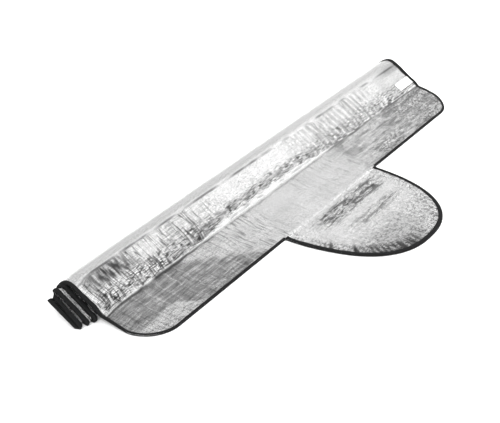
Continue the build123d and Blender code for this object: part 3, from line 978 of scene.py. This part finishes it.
def foil_material(name, base=0.90, roughness=0.16, crease_shade_darkening=0.80):
    """Bright metallised film, with creases across, along and crumpled where the maps say: they are
    bumps, and also dark lines painted into its colour as crease shade.
    """
    material, tree, shader = new_material(name)
    shader.inputs["Metallic"].default_value = 1.0
    place = scaled_place(tree, attribute(tree, "flat"), MM, MM)
    kinds = []
    for zone, kind in zip(parts_of(tree, "zones"), CREASE_LINES):
        lines = []
        for along, across, width, detail, share in kind:
            drawn = thin_lines(tree, scaled_place(tree, place, along, across), width, detail)
            lines.append(multiply(tree, drawn, share))
        kinds.append(multiply(tree, total_of(tree, *lines), zone))
    creases = total_of(tree, *kinds)
    tone, dashed, _ = parts_of(tree, "shade")
    spread = scaled_place(tree, place, *DASH_SPACING)
    grain = noise_node(tree, spread, Scale=1.0, Detail=1.5, Roughness=0.5)
    dashes = multiply(tree, ranged(tree, grain, DASH_SPAN), dashed)
    speckle = noise_node(tree, place, Scale=0.30, Detail=3.0, Roughness=0.6)
    # The film's colour carries painted shade and reflection: the shade map, dark crease lines, dark
    # dashes and speckle.
    film = multiply(
        tree, tone,
        maths(tree, "MULTIPLY_ADD", maths(tree, "MINIMUM", creases, MOST_CREASE), -crease_shade_darkening, 1.0),
        base,
        maths(tree, "MULTIPLY_ADD", dashes, -DASH_DARKENING, 1.0),
        ranged(tree, speckle, SPECKLE_SPAN, (1.0, SPECKLE_LEAST)))
    tree.links.new(maths(tree, "MAXIMUM", film, DARKEST_FILM), shader.inputs["Base Color"])
    worn = noise_node(tree, place, Scale=0.03, Detail=3.0)
    gloss = ranged(tree, worn, (0.0, 1.0), (roughness * 0.7, roughness * 1.5), "LINEAR")
    tree.links.new(gloss, shader.inputs["Roughness"])
    fine = noise_node(tree, place, Scale=0.22, Detail=5.0, Roughness=0.6)
    height = maths(tree, "SUBTRACT", multiply(tree, fine, 1.6), creases)
    bumped(tree, shader, height, 0.8, FOIL_DEPTH)
    return material


def two_greys(tree, shader, fac, low, high, places=(0.0, 1.0)):
    """The shader's colour wanders between two greys."""
    ramp = add(tree, "ShaderNodeValToRGB", Fac=fac)
    for element, at, grey in zip(ramp.color_ramp.elements, places, (low, high)):
        element.position = at
        element.color = (*grey, 1)
    tree.links.new(ramp.outputs["Color"], shader.inputs["Base Color"])


def grey_material(name, low, high, roughness, scale, detail, on_flat=False, specular=0.5):
    material, tree, shader = new_material(name)
    place = attribute(tree, "flat") if on_flat else None
    two_greys(tree, shader, noise_node(tree, place, Scale=scale, Detail=detail), low, high)
    shader.inputs["Roughness"].default_value = roughness
    shader.inputs["Specular IOR Level"].default_value = specular
    return material


# Plain materials: name, darkest and lightest colour, roughness, and the grain's scale and detail.
THREAD = ("black_thread", (0.015, 0.015, 0.016), (0.06, 0.06, 0.062), 0.6, 900.0, 2.0)
LABEL = ("plain_label_weave", (0.80,) * 3, (0.95,) * 3, 0.6, 900.0, 3.0)
FLOOR = ("pale_floor", (0.93,) * 3, (0.96,) * 3, 0.9, 2.0, 2.0)
TAPE_SHADE = 0.006
RIB_SCALE = 340.0
THREAD_SCALE = 420.0


def tape_material(name):
    """Black woven binding tape: ribs across it, fine threads along it, a little lint."""
    material, tree, shader = new_material(name)
    place = attribute(tree, "flat")
    ribs = [add(tree, "ShaderNodeTexWave", wave_type="BANDS", bands_direction=way, Scale=scale,
                Distortion=0.6, Vector=place).outputs["Fac"]
            for way, scale in (("X", RIB_SCALE), ("Y", THREAD_SCALE))]
    lint = noise_node(tree, place, Scale=260.0, Detail=4.0)
    dark = (TAPE_SHADE * 0.7, TAPE_SHADE * 0.7, TAPE_SHADE * 0.72)
    light = (TAPE_SHADE * 1.6, TAPE_SHADE * 1.6, TAPE_SHADE * 1.65)
    two_greys(tree, shader, lint, dark, light, (0.35, 0.72))
    shader.inputs["Roughness"].default_value = 0.85
    shader.inputs["Specular IOR Level"].default_value = 0.25
    bumped(tree, shader, multiply(tree, *ribs), 0.5, 0.0004)
    return material


# ---- stage, light and camera ----
def build_floor():
    size = 25.0
    mesh = bpy.data.meshes.new("floor")
    corners = [(-size, -size, 0), (size, -size, 0), (size, size, 0), (-size, size, 0)]
    mesh.from_pydata(corners, [], [(0, 1, 2, 3)])
    floor = new_object("floor", mesh)
    floor.location.z = -0.0005
    mesh.materials.append(grey_material(*FLOOR, specular=0.1))


PANEL_SCALE = 2.4
PANEL_EDGE = (0.44, 0.56)
PANEL_LEVELS = (0.06, 1.6)
# Bright areas: how bright, which way, and the cosines where each ends and where it is full.
BRIGHT_AREAS = (
    (1.45, (0.693, -0.261, 0.671), (0.90, 0.985)),  # what the smooth slope shows the camera
    (1.15, (0.693, 0.489, 0.530), (0.93, 0.99)),  # what the flat free end shows
    (0.85, (0.60, 0.78, 0.05), (0.85, 0.97)),  # what the top of the roll shows
)


def build_world():
    """A studio of bright panels with dark gaps between them, as crinkled foil shows it."""
    world = bpy.data.worlds.new("studio")
    bpy.context.scene.world = world
    world.use_nodes = True
    tree = world.node_tree
    direction = add(tree, "ShaderNodeTexCoord").outputs["Generated"]
    panels = noise_node(tree, direction, Scale=PANEL_SCALE, Detail=1.0)
    value = ranged(tree, panels, PANEL_EDGE, PANEL_LEVELS)
    for level, way, span in BRIGHT_AREAS:
        dot = add(tree, "ShaderNodeVectorMath", operation="DOT_PRODUCT")
        dot.inputs[1].default_value = way
        tree.links.new(direction, dot.inputs[0])
        mix = add(tree, "ShaderNodeMix", data_type="FLOAT")
        for k, part in ((0, ranged(tree, dot.outputs["Value"], span)), (2, value), (3, level)):
            connect(tree, part, mix.inputs[k])
        value = mix.outputs[0]
    tree.links.new(value, tree.nodes["Background"].inputs["Color"])


def aim(thing, direction):
    thing.rotation_euler = Vector(direction).to_track_quat("-Z", "Y").to_euler()


def area_light(name, place, target, size, energy):
    data = bpy.data.lights.new(name, "AREA")
    data.shape = "RECTANGLE"
    data.size, data.size_y = size
    data.energy = energy
    light = new_object(name, data)
    light.location = place
    aim(light, np.array(target) - np.array(place))
    light.visible_glossy = False


def build_lights():
    """Large soft lights for the floor and the tape; the film shows the studio instead."""
    area_light("key_light", (1.8, -0.9, 2.3), (0, 0, 0), (1.8, 1.8), 70)
    area_light("back_light", (1.2, 2.6, 1.8), (0, 0, 0), (2.4, 1.4), 45)
    area_light("fill_light", (-2.4, -0.6, 2.2), (-0.4, 0, 0), (2.0, 2.0), 60)


LENS = 79.0
CAMERA_FROM_CORNER = (-0.9485, -0.8409, 1.0200)  # in mat widths, from the near corner
CAMERA_FORWARD = (0.6930, 0.4890, -0.5298)
CAMERA_RISE = 2.0  # the outline lies on the tape's edge


def build_camera():
    data = bpy.data.cameras.new("camera")
    data.lens = LENS
    data.sensor_width = 36.0
    camera = new_object("camera", data)
    corner = np.array([LEFT_X, FREE_Y, CAMERA_RISE])
    camera.location = (corner + WIDTH * np.array(CAMERA_FROM_CORNER)) * MM
    aim(camera, CAMERA_FORWARD)
    bpy.context.scene.camera = camera
    bpy.context.scene.view_settings.view_transform = "Standard"


# ---- assembly ----
# Bends: the two bodies, and where the bend starts and ends behind the free edge, in mm.
BENDS = {
    "crease": ("apron", "outer_turn", 134, 158),
    "crest": ("outer_turn", "roll", 205, 236),
    "seam": ("apron", "tab", 1, -12),
}
INNER_NAMES = ("second_turn", "third_turn", "core_turn", "inner_end")


def finished(piece, material, carried_by, replaced=()):
    """Gives a piece its material, hides the CAD nodes it replaces, and parents it to its body, or
    bakes its place into the mesh if it lies across a bend.
    """
    piece.data.materials.clear()
    piece.data.materials.append(material)
    if replaced:
        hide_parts(*replaced)
    if carried_by in BENDS:
        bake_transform(piece)
    else:
        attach(piece, carried_by)


def layers(*names):
    return [f"{name}_{layer}" for name in names for layer in ("foam", "outer_film", "inner_film")]


def build_side(side, mirror, tape, thread):
    """The tapes and stitches of the mat's left or right side."""
    wider = RIGHT_WIDER if mirror else 1.0
    front = front_path(mirror)
    back_from_edge = front[0][:, 1]
    on_roll = smooth(back_from_edge, CREASE_L - 30, MID_SLOPE_L - 5)
    reach_by, rise_by = (a + (b - a) * on_roll for a, b in zip(FLAT_TAPE, ROLL_TAPE))
    reach_by = reach_by * (1 + (wider - 1) * smooth(back_from_edge, 0, 60))
    piece = tape_piece(f"free_end_{side}_tape", OUTER.place, *front, reach_by, rise_by)
    finished(piece, tape, "crease", (f"apron_{side}_tape", f"slope_{side}_tape"))
    piece = stitch_piece(f"free_end_{side}_stitches", OUTER.place, *front)
    rows = (f"apron_{side}_stitching", f"slope_{side}_stitching")
    finished(piece, thread, "crease", rows)

    back = side_path(MID_SLOPE_L, END_L, BACK_STEPS, mirror)
    reach_by, rise_by = ROLL_TAPE[0] * wider, ROLL_TAPE[1]
    piece = tape_piece(f"crest_{side}_tape", OUTER.place, *back, reach_by, rise_by)
    finished(piece, tape, "crest", (f"outer_wrap_{side}_tape",))
    piece = stitch_piece(f"crest_{side}_stitches", OUTER.place, *back)
    finished(piece, thread, "crest")

    inner = side_path(0, INNER.length, INNER_STEPS, mirror)
    bulge = (1.0, 1.0) if mirror else TAPE_BULKED_FOR_SHADE
    piece = tape_piece(f"inner_turns_{side}_tape", INNER.place, *inner, *bulge)
    finished(piece, tape, "roll", [f"{name}_{side}_tape" for name in INNER_NAMES])


def build_inner_end(tape):
    s = np.linspace(TAPE_FACE, WIDTH - TAPE_FACE, 160)
    path = np.stack([s, np.full_like(s, INNER.length)], axis=-1)
    piece = tape_piece("inner_end_tape", INNER.place, path, np.tile([0.0, -1.0], (len(s), 1)))
    finished(piece, tape, "roll", ("inner_end_cross_tape",))


def main():
    build_camera()
    build_world()
    build_lights()
    build_floor()
    foil = foil_material("bright_foil")
    inner_foil = foil_material("inner_foil", base=0.86, roughness=0.24, crease_shade_darkening=0.4)
    tape = tape_material("edge_tape_weave")
    thread = grey_material(*THREAD)
    weave = grey_material(*LABEL, on_flat=True)

    front = outer_piece("free_end_sheet", 0.0, MID_SLOPE_L, FREE_END_ROWS)
    back = outer_piece("crest_and_back_sheet", MID_SLOPE_L, END_L, CREST_ROWS)
    tab = build_tab()
    inner = build_inner()
    finished(front, foil, "crease", layers("apron", "slope"))
    finished(back, foil, "crest", layers("outer_wrap"))
    finished(tab, foil, "seam", layers("tab"))
    inner_nodes = [node for node in sorted(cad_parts)
                   if node.startswith(INNER_NAMES) and not node.endswith("tape")]
    finished(inner, inner_foil, "roll", inner_nodes)
    finished(build_label(), weave, "outer_turn", ("blank_label",))

    build_side("left", False, tape, thread)
    build_side("right", True, tape, thread)
    build_inner_end(tape)
    tab_edge = tab_path()
    piece = tape_piece("tab_edge_tape", TabSheet.place, *tab_edge, *TAB_TAPE)
    finished(piece, tape, "seam", ("tab_tape",))
    piece = stitch_piece("tab_stitches", TabSheet.place, *tab_edge)
    finished(piece, thread, "seam", ("tab_stitching",))


main()
